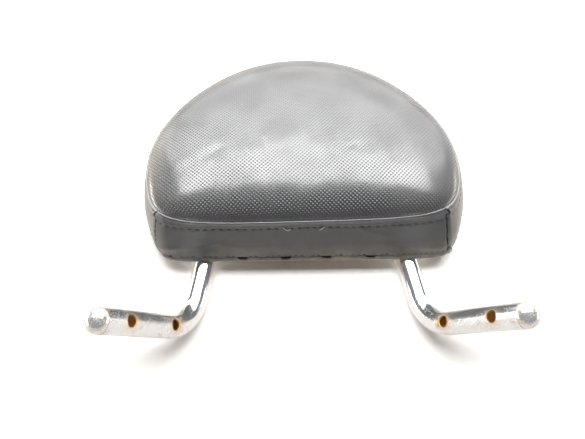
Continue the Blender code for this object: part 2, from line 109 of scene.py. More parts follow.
CROWN_X = SEAM_SHIFT + PAD_LEAN * (CROWN_CENTRE_Y - WIDEST_Y)

# Embossing of the front: staggered pits
PIT_PITCH = 3.5 * MM
PIT_TURN = math.radians(2.9)
PIT_DEPTH = 0.32 * MM
GRID_STEP = PIT_PITCH / 3
GRID_COLUMNS = 2 * int(168 * MM / GRID_STEP)
GRID_ROWS = 2 * int(142 * MM / GRID_STEP)

# Sewing
STITCH_PITCH = 6.6 * MM
STITCH_DROP = 6.3 * MM
STAPLE_PITCH = 21.0 * MM
STAPLE_INSET = 9.5 * MM
LEG_ROOM = 24.0 * MM

# Fineness of the skins
RIM_STEPS = 1441
RUN_STEPS = 90
FINE_STEPS = 4000
HEM_COLUMNS = 901
BAND_COLUMN = 0.95 * MM


# Number helpers

def wave(values, *terms):
    """Sum of sines, each term (amplitude, turns per unit, phase)."""
    total = np.zeros_like(values)
    for amplitude, turns, phase in terms:
        total += amplitude * np.sin(2 * math.pi * turns * values + phase)
    return total


def bell(distance, width):
    """1 at no distance, and fading over a width."""
    return np.exp(-(distance / width) ** 2)


def between(start, end, share):
    return start + (end - start) * share


def eased(value, low, high):
    """Smooth step from 0 to 1 between two values."""
    share = np.clip((value - low) / (high - low), 0.0, 1.0)
    return share * share * (3.0 - 2.0 * share)


# Mesh helpers

def clear_selection():
    if bpy.context.object and bpy.context.object.mode != "OBJECT":
        bpy.ops.object.mode_set(mode="OBJECT")
    bpy.ops.object.select_all(action="DESELECT")


def pick(obj):
    """Make a piece the active and only selected one."""
    clear_selection()
    obj.select_set(True)
    bpy.context.view_layer.objects.active = obj


def made(name):
    """Name the object that a primitive has just added."""
    obj = bpy.context.object
    obj.name = name
    obj.data.name = name
    return obj


def added(name, data):
    """Put new data in the scene as an object."""
    obj = bpy.data.objects.new(name, data)
    bpy.context.scene.collection.objects.link(obj)
    return obj


def apply_all(obj):
    """Apply a piece's modifiers and its place."""
    pick(obj)
    for modifier in list(obj.modifiers):
        bpy.ops.object.modifier_apply(modifier=modifier.name)
    bpy.ops.object.transform_apply(location=True, rotation=True, scale=True)
    return obj


def edit_all(obj):
    """Open a piece for editing with everything selected."""
    pick(obj)
    bpy.ops.object.mode_set(mode="EDIT")
    bpy.ops.mesh.select_all(action="SELECT")


def merge(obj, distance):
    """Merge the vertices that lie on each other."""
    edit_all(obj)
    bpy.ops.mesh.remove_doubles(threshold=distance)
    bpy.ops.object.mode_set(mode="OBJECT")


def face_outwards(obj):
    edit_all(obj)
    bpy.ops.mesh.normals_make_consistent(inside=False)
    bpy.ops.object.mode_set(mode="OBJECT")
    return obj


def smooth(obj, angle=60):
    pick(obj)
    bpy.ops.object.shade_smooth_by_angle(angle=math.radians(angle))
    return obj


def coordinates(obj):
    co = np.empty(len(obj.data.vertices) * 3)
    obj.data.vertices.foreach_get("co", co)
    return co.reshape(-1, 3)


def mark(obj, name, values):
    """Store a number for each vertex, which the materials read by its name."""
    attribute = obj.data.attributes.new(name, "FLOAT", "POINT")
    attribute.data.foreach_set("value", np.asarray(values, np.float32))


def sheet(name, points, closed=False):
    """Grid whose vertices are moved to rows of points, shape (rows, columns, 3)."""
    rows, columns = points.shape[:2]
    clear_selection()
    bpy.ops.mesh.primitive_grid_add(x_subdivisions=columns - 1, y_subdivisions=rows - 1, size=1.0)
    obj = made(name)
    flat = coordinates(obj)
    column = np.rint((flat[:, 0] + 0.5) * (columns - 1)).astype(int)
    row = np.rint((flat[:, 1] + 0.5) * (rows - 1)).astype(int)
    obj.data.vertices.foreach_set("co", points[row, column].ravel())
    obj.data.update()
    if closed:
        merge(obj, 1e-6)
    return obj


def walled(obj, thickness, inner_slot=0):
    """Give a sheet its thickness, inwards, and its inner face a material slot."""
    wall = obj.modifiers.new("wall", "SOLIDIFY")
    wall.thickness = thickness
    wall.offset = -1.0
    wall.material_offset = inner_slot
    return apply_all(obj)


def open_edges(bm):
    return [edge for edge in bm.edges if edge.is_boundary]


def grow_rim(bm):
    """Extrude a mesh's open rim, and give the new vertices."""
    grown = bmesh.ops.extrude_edge_only(bm, edges=open_edges(bm))["geom"]
    return [part for part in grown if isinstance(part, bmesh.types.BMVert)]


def cap_rim(bm):
    """Close a mesh's open rim with one face."""
    bmesh.ops.contextual_create(bm, geom=open_edges(bm))
    bmesh.ops.recalc_face_normals(bm, faces=bm.faces)


# The cover's skin

def outline(angle, half_width, below, above, sharpness, tilt):
    c = np.cos(angle)
    s = np.sin(angle)
    across = np.hypot(c / half_width, np.maximum(s, 0.0) / above)
    side = 1.0 / np.hypot(across, np.minimum(s, 0.0) / half_width)
    shoulder = 1.0 - SHOULDER_DROP * np.sin(2 * angle) ** 2 * np.abs(c)
    side = side * np.where(s > 0.0, shoulder, 1.0)
    low = np.maximum(-np.sin(angle - tilt), 0.0)
    side = side * (1.0 + (side * low / below) ** sharpness) ** (-1.0 / sharpness)
    return side * c, side * s


def seam_height(angle):
    y = outline(angle, SEAM_HALF_WIDTH, SEAM_BELOW, SEAM_ABOVE, SEAM_SHARPNESS, SEAM_TILT)[1]
    return SEAM_Z - WEDGE * (y + SEAM_BELOW)


def skin(angle, down, bulge=0.0):
    """Points of the edge band's outer skin: down is 0 at the front seam and 1 at the back."""
    angle = np.asarray(angle, float)
    down = np.asarray(down, float)
    flare = np.sin(math.pi / 2 * down)
    half_width = between(SEAM_HALF_WIDTH, HEM_HALF_WIDTH, flare) + bulge
    half_width = half_width + BAND_BELLY * np.sin(math.pi * down)
    below = between(SEAM_BELOW, HEM_BELOW, down) + bulge
    above = between(SEAM_ABOVE, HEM_ABOVE, flare) + bulge
    sharpness = between(SEAM_SHARPNESS, HEM_SHARPNESS, down)
    tilt = between(SEAM_TILT, HEM_TILT, down)
    x, y = outline(angle, half_width, below, above, sharpness, tilt)
    x = between(SEAM_SHIFT, HEM_SHIFT, down) + x + PAD_LEAN * y
    z = between(seam_height(angle), HEM_Z, down)
    return np.stack(np.broadcast_arrays(x, WIDEST_Y + y - MIDDLE_Y, z), axis=-1)


def down_at(angle, z):
    """Share of the way down the skin at a height."""
    top = seam_height(np.asarray(angle, float))
    return (top - z) / (top - HEM_Z)


def corner_angle(side, down):
    """Polar angle of a corner seam, from the front seam (down 0) to the hem (down 1)."""
    flare = math.sin(math.pi / 2 * down)
    below = between(CORNER_FRONT, CORNER_HEM, flare) + side * between(FRONT_SKEW, HEM_SKEW, flare)
    return -below if side > 0 else math.pi + below


def even_angles(start, end, step, down):
    """Polar angles spaced evenly along the skin between two of them, and the run's length."""
    fine = np.linspace(start, end, FINE_STEPS)
    run = skin(fine, down)
    length = np.concatenate([[0.0], np.cumsum(np.linalg.norm(np.diff(run, axis=0), axis=1))])
    count = max(2, int(round(length[-1] / step)))
    return np.interp(np.linspace(0.0, length[-1], count + 1), length, fine), length[-1]


# Front: the embossed panel

def crown_rise(share):
    return CROWN_HEIGHT * np.maximum(1.0 - share ** CROWN_ROUND, 0.0) ** CROWN_EDGE


def crown(edge, share, drop=0.0):
    """Points of the front between its crown (share 0) and the given edge points (share 1)."""
    x = CROWN_X + (edge[..., 0] - CROWN_X) * share
    y = CROWN_CENTRE_Y - MIDDLE_Y + (edge[..., 1] - CROWN_CENTRE_Y + MIDDLE_Y) * share
    base = SEAM_Z - WEDGE * (y + MIDDLE_Y - WIDEST_Y + SEAM_BELOW)
    return np.stack([x, y, base + crown_rise(share) - drop], axis=-1)


class Meridians:
    """Runs from the crown to the seam, by direction, to lay a flat sheet over the crown."""

    def __init__(self, bulge):
        angles = np.linspace(-math.pi, math.pi, RIM_STEPS)
        self.edge = skin(angles, 0.0, bulge)
        way = np.arctan2(self.edge[:, 1] - CROWN_CENTRE_Y + MIDDLE_Y, self.edge[:, 0] - CROWN_X)
        self.way = np.unwrap(way)
        self.share = np.sin(math.pi / 2 * np.linspace(0.0, 1.0, RUN_STEPS))
        points = crown(self.edge[:, None, :], self.share[None, :])
        steps = np.linalg.norm(np.diff(points, axis=1), axis=2)
        self.length = np.concatenate([np.zeros((RIM_STEPS, 1)), np.cumsum(steps, axis=1)], axis=1)

    def row(self, way):
        """The run before a direction, and the part of the way to the next one."""
        way = self.way[0] + np.mod(way - self.way[0], 2 * math.pi)
        place = np.interp(way, self.way, np.arange(len(self.way)))
        low = np.minimum(place.astype(int), len(self.way) - 2)
        return low, place - low

    def edge_at(self, way):
        low, part = self.row(way)
        return self.edge[low] * (1 - part)[:, None] + self.edge[low + 1] * part[:, None]

    def share_at(self, way, reach):
        """Share of the way to the seam at a distance along the skin, and the part left over."""
        low, part = self.row(way)
        length = self.length[low] * (1 - part)[:, None] + self.length[low + 1] * part[:, None]
        step = np.clip((length < reach[:, None]).sum(axis=1), 1, len(self.share) - 1)
        pick = np.arange(len(step))
        a = length[pick, step - 1]
        b = length[pick, step]
        share = self.share[step - 1] + (self.share[step] - self.share[step - 1]) * (
            (reach - a) / np.maximum(b - a, 1e-9))
        return np.minimum(share, 1.0), reach - length[:, -1]


FRONT_INSET = 0.35 * MM
EMBOSSED_FROM = (0.6 * MM, 2.2 * MM)

# Slack of the front: waves over its flat map, in its lower middle and off the seam
SLACK_ACROSS = ((0.20 * MM, 15.0, 0.4), (0.10 * MM, 33.0, 2.1), (0.03 * MM, 71.0, 0.9))
SLACK_ALONG = ((0.09 * MM, 26.0, 1.1), (0.04 * MM, 47.0, 2.9))
SLACK_MIDDLE = -25 * MM
SLACK_REACH = 75 * MM
SLACK_FROM = (4 * MM, 30 * MM)

# Fine pulled creases: three points of a line, its depth and its width, in millimetres
CREASES = (((-36.0, 21.0), (-34.0, 4.0), (-30.5, -20.0), 0.75, 2.6),
           ((-50.0, 8.0), (-49.0, -5.0), (-46.5, -20.0), 0.4, 3.2),
           ((30.0, 2.0), (36.0, 9.0), (47.0, 13.0), 0.35, 3.6),
           ((-84.0, -2.0), (-78.0, 8.0), (-70.0, 13.0), 0.35, 3.6))

# Underside of the front: millimetres below the skin, and share of the way from the crown
FRONT_LIP = ((0.9, 1.0), (1.3, 0.985), (1.9, 0.955), (1.9, 0.88), (1.9, 0.74), (1.9, 0.5),
             (1.9, 0.2))


def crease_depth(x, y):
    """Depth of the creases, each of which fades at its two ends."""
    depth = np.zeros_like(x)
    for *knots, deep, width in CREASES:
        nearest = np.full_like(x, 1.0)
        along = np.zeros_like(x)
        for index, ((x0, y0), (x1, y1)) in enumerate(zip(knots, knots[1:])):
            dx = (x1 - x0) * MM
            dy = (y1 - y0) * MM
            share = ((x - x0 * MM) * dx + (y - y0 * MM) * dy) / (dx * dx + dy * dy)
            share = np.clip(share, 0.0, 1.0)
            away = np.hypot(x - x0 * MM - share * dx, y - y0 * MM - share * dy)
            along = np.where(away < nearest, (index + share) / 2, along)
            nearest = np.minimum(nearest, away)
        fade = np.sin(math.pi * along) ** 0.8
        depth = np.maximum(depth, deep * MM * fade * bell(nearest, width * MM))
    return depth


def front_panel():
    """Front: a flat grid laid over the crown and closed underneath.

    The grid keeps its flat UV map, in which the vinyl's pits are even, and "embossed" is 0
    at the seam.
    """
    meridians = Meridians(-FRONT_INSET)
    u = (np.arange(GRID_COLUMNS + 1) - GRID_COLUMNS // 2) * GRID_STEP
    v = (np.arange(GRID_ROWS + 1) - GRID_ROWS // 2) * GRID_STEP
    u, v = np.meshgrid(u, v)
    turn_x = u * math.cos(PIT_TURN) - v * math.sin(PIT_TURN)
    turn_y = u * math.sin(PIT_TURN) + v * math.cos(PIT_TURN)
    way = np.arctan2(turn_y, turn_x).ravel()
    share, past = meridians.share_at(way, np.hypot(turn_x, turn_y).ravel())
    points = crown(meridians.edge_at(way), share).reshape(*u.shape, 3)
    past = past.reshape(u.shape)
    normal = np.cross(np.gradient(points, axis=1), np.gradient(points, axis=0))
    normal /= np.maximum(np.linalg.norm(normal, axis=2, keepdims=True), 1e-12)
    embossed = eased(-past, *EMBOSSED_FROM)
    pull = wave(u + 0.3 * v, *SLACK_ACROSS)
    pull += wave(v - 0.6 * u, *SLACK_ALONG)
    pull *= np.clip(1.0 - np.abs(v - SLACK_MIDDLE) / SLACK_REACH, 0.0, 1.0) * eased(-past, *SLACK_FROM)
    pull -= crease_depth(points[..., 0], points[..., 1])
    panel = sheet("front_cover", points + normal * (pull * embossed)[..., None])
    mark(panel, "embossed", embossed.ravel())
    outside = (past > 0.0).ravel()
    bm = bmesh.new()
    bm.from_mesh(panel.data)
    bm.verts.ensure_lookup_table()
    bmesh.ops.delete(bm, geom=[f for f in bm.faces if all(outside[w.index] for w in f.verts)],
                     context="FACES")
    bmesh.ops.delete(bm, geom=[w for w in bm.verts if not w.link_faces], context="VERTS")
    layer = bm.verts.layers.float["embossed"]
    for drop, share in FRONT_LIP:
        fresh = grow_rim(bm)
        out = np.arctan2(np.array([w.co.y for w in fresh]) - CROWN_CENTRE_Y + MIDDLE_Y,
                         np.array([w.co.x for w in fresh]) - CROWN_X)
        place = crown(meridians.edge_at(out), np.full(len(fresh), share), drop * MM)
        for vert, co in zip(fresh, place):
            vert.co = co
            vert[layer] = 0.0
    cap_rim(bm)
    bm.to_mesh(panel.data)
    bm.free()
    panel.data.polygons.foreach_set("use_smooth", np.ones(len(panel.data.polygons), bool))
    return panel


# Edge bands, hem and sewing, in millimetres

# Folded top edge of a band: out from the seam and up
BEAD = ((-0.35, -0.9), (-0.45, -0.25), (-0.40, 0.25), (-0.20, 0.56), (0.15, 0.70), (0.55, 0.79),
        (0.95, 0.82), (1.28, 0.66), (1.46, 0.30), (1.48, -0.15), (1.38, -0.65), (1.18, -1.15),
        (0.94, -1.7), (0.78, -2.3))
# Its fold below the seam: drop, and how far it stands off the skin
FOLD_DROPS = (2.4, 3.2, 4.0, 4.8, 5.4, 5.9, 6.3, 6.8, 7.4, 8.4, 10.0)
FOLD_BULGE = (0.72, 0.66, 0.58, 0.44, 0.26, 0.10, 0.0, 0.02, 0.12, 0.10, 0.0)
BAND_DROPS = (*np.linspace(3.1, 8.8, 20), *np.linspace(9.8, 36.0, 26))
BAND_DROP = 36.0 * MM
BAND_INSET = 0.15 * MM
FOLD_END = 5.0 * MM
# Fuller fold towards the corners, on the bottom band and the side band: share and reach
SWELL = ((0.25, 9), (0.95, 22))
# Folds and grooves beside the corner seams, on the same two: height, distance and width
CORNER_FOLDS = (((0.42, 2.0, 0.8), (-0.45, 0.0, 0.9)), ((0.55, 2.2, 2.4), (-0.55, 0.0, 0.7)))
PUCKER_DEPTH = 0.42 * MM
PUCKER_SWAY = 0.12 * MM
PUCKER_WIDTH = 1.5 * MM
TOP_RIPPLE = 0.09 * MM
TOP_WAVES = ((0.06 * MM, 31.0, 0.8),)
FOOT_WAVES = ((0.26 * MM, 55.0, 0.3), (0.18 * MM, 98.0, 1.7))
BELLY_WAVES = ((0.30 * MM, 11.0, 1.2), (0.14 * MM, 27.0, 0.2))
# Wrinkles of the bottom band: from its right end or not, start, drop, slope and height
WRINKLES = ((True, 0, 31.0, 0.10, 0.85), (False, 0, 29.5, 0.16, 0.75),
            (False, 34, 16.0, -0.25, 0.35), (True, 52, 17.0, 0.35, 0.3))
WRINKLE_WIDTH = 2.6 * MM
# Places where the hem seam gapes: middle and half width
GAPS = ((-56.6, 5.6), (-18.5, 5.4), (17.4, 5.4), (56.4, 5.0))
GAP_RISE = 1.1 * MM
# Rows of the hem strip: inset under the board, share of its height, and bulge
HEM_STEPS = ((0.0, 1.0, -0.45), (0.0, 0.93, 0.05), (0.0, 0.8, 0.22), (0.0, 0.62, 0.28),
             (0.05, 0.4, 0.2), (0.25, 0.2, 0.05), (0.6, 0.08, 0.0),
             *((inset, 0.0, 0.0) for inset in (1.2, 2.4, 4.0, 6.0, 8.5, 11.0, 13.5, 16.0)))
GATHER_DEPTH = 0.14 * MM
GATHER_PITCH = 5.2 * MM
HEM_RIPPLES = ((0.20 * MM, 60.0, 0.5), (0.14 * MM, 131.0, 1.4))


def level_at(angle, drop):
    """Place of a line at a distance below the front seam, and at BAND_DROP on the hem seam."""
    top = seam_height(np.asarray(angle, float))
    reach = top - HEM_SEAM_Z - 0.2 * MM
    run = drop + (reach - BAND_DROP) * (drop / BAND_DROP) ** 2
    return run / (top - HEM_Z)


def band_ends(start_side, down):
    """Polar angles of a band's two ends, anticlockwise from the start side."""
    left = corner_angle(start_side, down)
    right = corner_angle(-start_side, down)
    while right < left:
        right += 2 * math.pi
    while right - left > 2 * math.pi:
        right -= 2 * math.pi
    return left, right


def band_angles(start_side, down, share):
    """Polar angles at shares of the way along a band, just inside its two corner seams."""
    left, right = band_ends(start_side, down)
    inset = BAND_INSET / SEAM_HALF_WIDTH
    return left + inset + (right - left - 2 * inset) * share


def band_run(start_side):
    """Evenly spaced shares of the way along a band, their run in metres and its length."""
    start, end = band_ends(start_side, 0.5)
    even, length = even_angles(start, end, BAND_COLUMN, 0.5)
    return (even - start) / (end - start), np.linspace(0.0, length, len(even)), length


def gap_mask(x):
    """1 in the middle of each place where the hem seam gapes, 0 outside."""
    mask = np.zeros_like(x)
    for centre, half in GAPS:
        mask = np.maximum(mask, 1.0 - eased(np.abs(x - centre * MM), 0.6 * half * MM, half * MM))
    return mask


def bead_row(out, up, share, run, ends, swell, start_side):
    """One row of a band's folded top edge."""
    angle = band_angles(start_side, 0.0, share)
    ripple = TOP_RIPPLE * np.sin(2 * math.pi * run / STITCH_PITCH) + wave(run, *TOP_WAVES)
    bulge = out * MM * swell + ripple
    lift = up * MM * (1.25 + 0.35 * (swell - 1.0))
    if start_side > 0:
        bulge += 0.35 * MM * bell(ends, 2.2 * MM)
        lift += 0.30 * MM * bell(ends, 2.2 * MM)
    return skin(angle, -lift / (seam_height(angle) - HEM_Z), bulge)


def band_bulge(drop, run, length, swell, side_strip):
    """How far a row of a band stands off the skin, by its fold, puckers, waves and wrinkles."""
    fold = np.interp(drop, np.array(FOLD_DROPS) * MM, np.array(FOLD_BULGE) * MM)
    bulge = np.full_like(run, fold)
    if drop < FOLD_END:
        bulge = bulge * (1.0 + 0.5 * (swell - 1.0))
    pucker = 0.5 + 0.5 * np.cos(2 * math.pi * run / STITCH_PITCH)
    near_stitches = bell(drop - STITCH_DROP, PUCKER_WIDTH)
    bulge -= PUCKER_DEPTH * near_stitches * pucker ** 3
    bulge += PUCKER_SWAY * near_stitches * np.sin(math.pi * run / STITCH_PITCH + 0.7)
    foot = drop / BAND_DROP
    bulge += foot ** 6 * wave(run, *FOOT_WAVES)
    bulge += math.sin(math.pi * foot) * wave(run, *BELLY_WAVES)
    for high, at, width in CORNER_FOLDS[side_strip]:
        bulge += high * MM * bell(np.minimum(run, length - run) - at * MM, width * MM)
    wrinkles = () if side_strip else WRINKLES
    for from_right, start, at, slope, high in wrinkles:
        far = (length - run if from_right else run) - start * MM
        line = (at - slope * far / MM) * MM
        along = eased(far, -12 * MM, 8 * MM) * (1.0 - eased(far, 22 * MM, 66 * MM))
        bulge += high * MM * along * bell(drop - line, WRINKLE_WIDTH)
    return bulge


def band(name, start_side):
    """One plain strip of the edge between the two corner seams, with its folded top edge."""
    share, run, length = band_run(start_side)
    side_strip = start_side > 0
    ends = np.minimum(run, length - run)
    high, reach = SWELL[side_strip]
    swell = 1.0 + high * bell(ends, reach * MM)
    rows = [bead_row(out, up, share, run, ends, swell, start_side) for out, up in BEAD]
    for drop in np.array(BAND_DROPS) * MM:
        angle = band_angles(start_side, drop / BAND_HEIGHT, share)
        bulge = band_bulge(drop, run, length, swell, side_strip)
        row = skin(angle, level_at(angle, drop), bulge)
        if not side_strip:
            row[:, 2] += gap_mask(row[:, 0]) * (drop / BAND_DROP) ** 14 * GAP_RISE
        rows.append(row)
    return smooth(walled(sheet(name, np.array(rows[::-1])), COVER_WALL))


def hem():
    """Narrow strip below the bands, turned under the board and gathered there."""
    angles = np.linspace(-math.pi, math.pi, HEM_COLUMNS)
    run = (angles + math.pi) * HEM_HALF_WIDTH
    edge = skin(angles, 0.95)
    gaping = gap_mask(edge[:, 0]) * (edge[:, 1] < -0.05)
    rows = []
    for inset, height, bulge in HEM_STEPS:
        slack = gaping * height ** 2
        z = between(HEM_Z, HEM_SEAM_Z - 0.2 * MM, height) - slack * 2.3 * MM
        ripple = wave(run, *HEM_RIPPLES) * (1.0 - height) * height * 3
        out = (bulge - inset) * MM + ripple - slack * 0.35 * MM
        row = skin(angles, down_at(angles, z), out)
        gather = min(max((inset - 1.0) / 8.0, 0.0), 1.0)
        row[:, 2] = z + gather * GATHER_DEPTH * np.sin(2 * math.pi * run / GATHER_PITCH)
        rows.append(row)
    return smooth(walled(sheet("hem_cover", np.array(rows[::-1]), closed=True), COVER_WALL))


# One stitch: stations along it, with the rise and girth of the thread there
STITCH_STATIONS = ((0.0, -1.15, 0.55), (0.08, -0.45, 0.9), (0.3, 0.25, 1.0), (0.7, 0.25, 1.0),
                   (0.92, -0.45, 0.9), (1.0, -1.15, 0.55))
THREAD_SIDES = 6


def one_stitch():
    """Vertices of a stitch as (share along it, across, up), and its faces."""
    verts = []
    faces = []
    for along, rise, girth in STITCH_STATIONS:
        for i in range(THREAD_SIDES):
            turn = 2 * math.pi * i / THREAD_SIDES
            verts.append((along, math.cos(turn) * girth, rise + math.sin(turn) * girth))
    last = (len(STITCH_STATIONS) - 1) * THREAD_SIDES
    for ring in range(0, last, THREAD_SIDES):
        for i in range(THREAD_SIDES):
            j = (i + 1) % THREAD_SIDES
            faces.append((ring + i, ring + j, ring + THREAD_SIDES + j, ring + THREAD_SIDES + i))
    faces.append(tuple(reversed(range(THREAD_SIDES))))
    faces.append(tuple(range(last, last + THREAD_SIDES)))
    return np.array(verts), faces


def stitches(name, points, outward, radius, cover, lift=0.1 * MM, left_out=()):
    """Row of stitches on evenly spaced points, each a short bent thread that dips at its ends."""
    stitch, stitch_faces = one_stitch()
    verts = []
    faces = []
    for k in range(len(points) - 1):
        if k in left_out:
            continue
        start = points[k]
        end = points[k] + (points[k + 1] - points[k]) * cover
        along = end - start
        up = (outward[k] + outward[k + 1]) / 2
        along_unit = along / np.linalg.norm(along)
        up = up - along_unit * up.dot(along_unit)
        up /= np.linalg.norm(up)
        across = np.cross(up, along_unit)
        placed = (start + stitch[:, :1] * along + stitch[:, 1:2] * across * radius
                  + stitch[:, 2:3] * up * radius + up * lift)
        offset = len(verts)
        verts.extend(placed.tolist())
        faces.extend([tuple(offset + i for i in face) for face in stitch_faces])
    mesh = bpy.data.meshes.new(name)
    mesh.from_pydata(verts, [], faces)
    return smooth(face_outwards(added(name, mesh)))


def outward_at(angle, down):
    """Outward unit normals of the band's skin."""
    step = 1e-4
    along = skin(angle + step, down) - skin(angle - step, down)
    below = skin(angle, down + step) - skin(angle, down - step)
    normal = np.cross(below, along)
    normal /= np.linalg.norm(normal, axis=-1, keepdims=True)
    return normal


def stitched(name, angle, down, off, radius, cover):
    """Stitches along a line on the skin, a distance off it."""
    outward = outward_at(angle, down)
    return stitches(name, skin(angle, down) + outward * off * MM, outward, radius * MM, cover)


def sew_band(name, start_side):
    """Stitch line along the top of a band, in step with its puckers."""
    share, run, length = band_run(start_side)
    left, right = band_ends(start_side, STITCH_DROP / BAND_HEIGHT)
    marks = np.arange(0.5, length / STITCH_PITCH - 0.5) * STITCH_PITCH
    angle = left + (right - left) * np.interp(marks, run, share)
    return stitched(name, angle, level_at(angle, STITCH_DROP), off=-0.10, radius=0.36, cover=0.56)


def sew_corner(name, side):
    """Stitches down the groove of a corner seam."""
    downs = np.linspace(0.04, 0.86, 9)
    angle = np.array([corner_angle(side, d) for d in downs])
    return stitched(name, angle, downs, off=0.02, radius=0.34, cover=0.74)


def sew_hem():
    """Fine stitch line just above the hem seam."""
    angle = even_angles(-math.pi, math.pi, STITCH_PITCH * 0.75, 0.85)[0]
    down = down_at(angle, HEM_SEAM_Z + 1.2 * MM)
    return stitched("hem_stitches", angle, down, off=-0.12, radius=0.30, cover=0.6)


def staples():
    """Staples through the turned hem, left out where the hoop's legs pass under it."""
    angle = even_angles(-math.pi, math.pi, STAPLE_PITCH, 1.0)[0]
    points = skin(angle, 1.0, -STAPLE_INSET)
    points[:, 2] = HEM_Z
    legs = [leg_point(y, side) for side in (-1, 1) for y in (-0.02, 0.0, 0.02)]
    left_out = [k for k, point in enumerate(points)
                if min(math.hypot(point[0] - leg.x, point[1] - leg.y) for leg in legs) < LEG_ROOM]
    outward = np.tile(np.array([0.0, 0.0, -1.0]), (len(points), 1))
    return stitches("hem_staples", points, outward, radius=0.5 * MM, cover=0.48, lift=0.15 * MM,
                    left_out=left_out)


def band_point(angle, drop, lift):
    """Point above the bottom band, from degrees, and millimetres below the seam and off the skin."""
    at = math.radians(angle)
    down = level_at(at, drop * MM)
    return skin(at, down) + outward_at(at, down) * lift * MM


def thread_end(name, radius, *knots):
    """Loose end of thread through a few points of the bottom band."""
    path = bpy.data.curves.new(name, "CURVE")
    path.dimensions = "3D"
    path.bevel_depth = radius * MM
    path.bevel_resolution = 2
    path.use_fill_caps = True
    spline = path.splines.new("NURBS")
    spline.points.add(len(knots) - 1)
    for knot, place in zip(spline.points, knots):
        knot.co = (*band_point(*place), 1.0)
    spline.use_endpoint_u = True
    spline.order_u = 3
    spline.resolution_u = 6
    pick(added(name, path))
    bpy.ops.object.convert(target="MESH")
    obj = bpy.context.object
    merge(obj, 1e-7)
    return smooth(face_outwards(obj))


# Hoop

def leg_direction(side):
    return Vector((side * math.sin(LEG_SPLAY), -math.cos(LEG_SPLAY), 0.0))


def leg_point(y, side):
    return Vector((side * (LEG_SPACING / 2 - y * math.tan(LEG_SPLAY)), y - MIDDLE_Y, TUBE_R))


def arm_direction(side):
    return Vector((side * math.tan(ARM_SPLAY), -math.tan(ARM_LEAN), 1.0)).normalized()


def arm_point(distance, side):
    return leg_point(-LEG_REACH, side) + arm_direction(side) * distance


def hole_axis(side):
    return arm_direction(side).cross(Vector((0, 1, 0))).normalized()


def extrude_on(run, steps):
    for _ in range(steps):
        bpy.ops.mesh.extrude_region_move(TRANSFORM_OT_translate={"value": run / steps})


def hoop():
    """One bent tube: a circle spun and extruded along half the hoop, then mirrored."""
    centre_y = HOOP_CENTRE_Y - MIDDLE_Y
    radius = LEG_SPACING / 2 * math.cos(LEG_SPLAY) - HOOP_CENTRE_Y * math.sin(LEG_SPLAY)
    clear_selection()
    bpy.ops.mesh.primitive_circle_add(vertices=TUBE_SIDES, radius=TUBE_R,
                                      location=(0, centre_y + radius, TUBE_R),
                                      rotation=(0, math.pi / 2, 0))
    obj = made("hoop_chrome")
    bpy.ops.object.transform_apply(location=True, rotation=True, scale=True)
    edit_all(obj)
    bpy.ops.mesh.spin(steps=34, angle=math.pi / 2 - LEG_SPLAY, center=(0, centre_y, TUBE_R),
                      axis=(0, 0, 1))
    along = leg_direction(1)
    arm = arm_direction(1)
    turn = along.angle(arm)
    inward = (arm - along * along.dot(arm)).normalized()
    bend_start = leg_point(-LEG_REACH, 1) - along * BEND_RADIUS * math.tan(turn / 2)
    arc_end = Vector((radius * math.cos(LEG_SPLAY), centre_y + radius * math.sin(LEG_SPLAY), TUBE_R))
    extrude_on(bend_start - arc_end, 12)
    bpy.ops.mesh.spin(steps=26, angle=-turn, center=bend_start + inward * BEND_RADIUS,
                      axis=along.cross(arm).normalized())
    extrude_on(arm * (ARM_LENGTH - JOINT_GAP - BEND_RADIUS * math.tan(turn / 2)), 26)
    bpy.ops.mesh.select_all(action="SELECT")
    bpy.ops.mesh.duplicate_move()
    bpy.ops.transform.resize(value=(-1, 1, 1), center_override=(0, 0, 0))
    bpy.ops.mesh.select_all(action="SELECT")
    bpy.ops.mesh.remove_doubles(threshold=2e-5)
    bpy.ops.mesh.normals_make_consistent(inside=False)
    bpy.ops.object.mode_set(mode="OBJECT")
    obj.data.materials.append(chrome)
    obj.data.materials.append(rust_and_painted_light)
    walled(obj, TUBE_WALL, inner_slot=1)
    for side in (-1, 1):
        for distance in HOLE_PLACES:
            clear_selection()
            bpy.ops.mesh.primitive_cylinder_add(vertices=36, radius=HOLE_R, depth=4 * TUBE_R,
                                                location=arm_point(distance, side))
            drill = made("drill")
            drill.rotation_mode = "QUATERNION"
            drill.rotation_quaternion = Vector((0, 0, 1)).rotation_difference(hole_axis(side))
            drill.data.materials.append(rust_and_painted_light)
            bpy.context.view_layer.update()
            cut = obj.modifiers.new("hole", "BOOLEAN")
            cut.object = drill
            cut.operation = "DIFFERENCE"
            cut.solver = "EXACT"
            cut.material_mode = "TRANSFER"
            apply_all(obj)
            bpy.data.objects.remove(drill)
    return smooth(obj, 32)


def rust_near_holes(obj):
    """Mark how close each vertex of the hoop is to the rim of a hole."""
    rust = np.zeros(len(obj.data.vertices))
    for side in (-1, 1):
        across = np.array(hole_axis(side))
        for distance, strength in zip(HOLE_PLACES, HOLE_RUST):
            offset = coordinates(obj) - np.array(arm_point(distance, side))
            flat = offset - np.outer(offset @ across, across)
            away = np.linalg.norm(flat, axis=1) - HOLE_R
            near = np.linalg.norm(offset, axis=1) < 3 * TUBE_R
            rust = np.maximum(rust, strength * np.exp(-np.maximum(away, 0.0) / RUST_REACH) * near)
    mark(obj, "rust", rust)


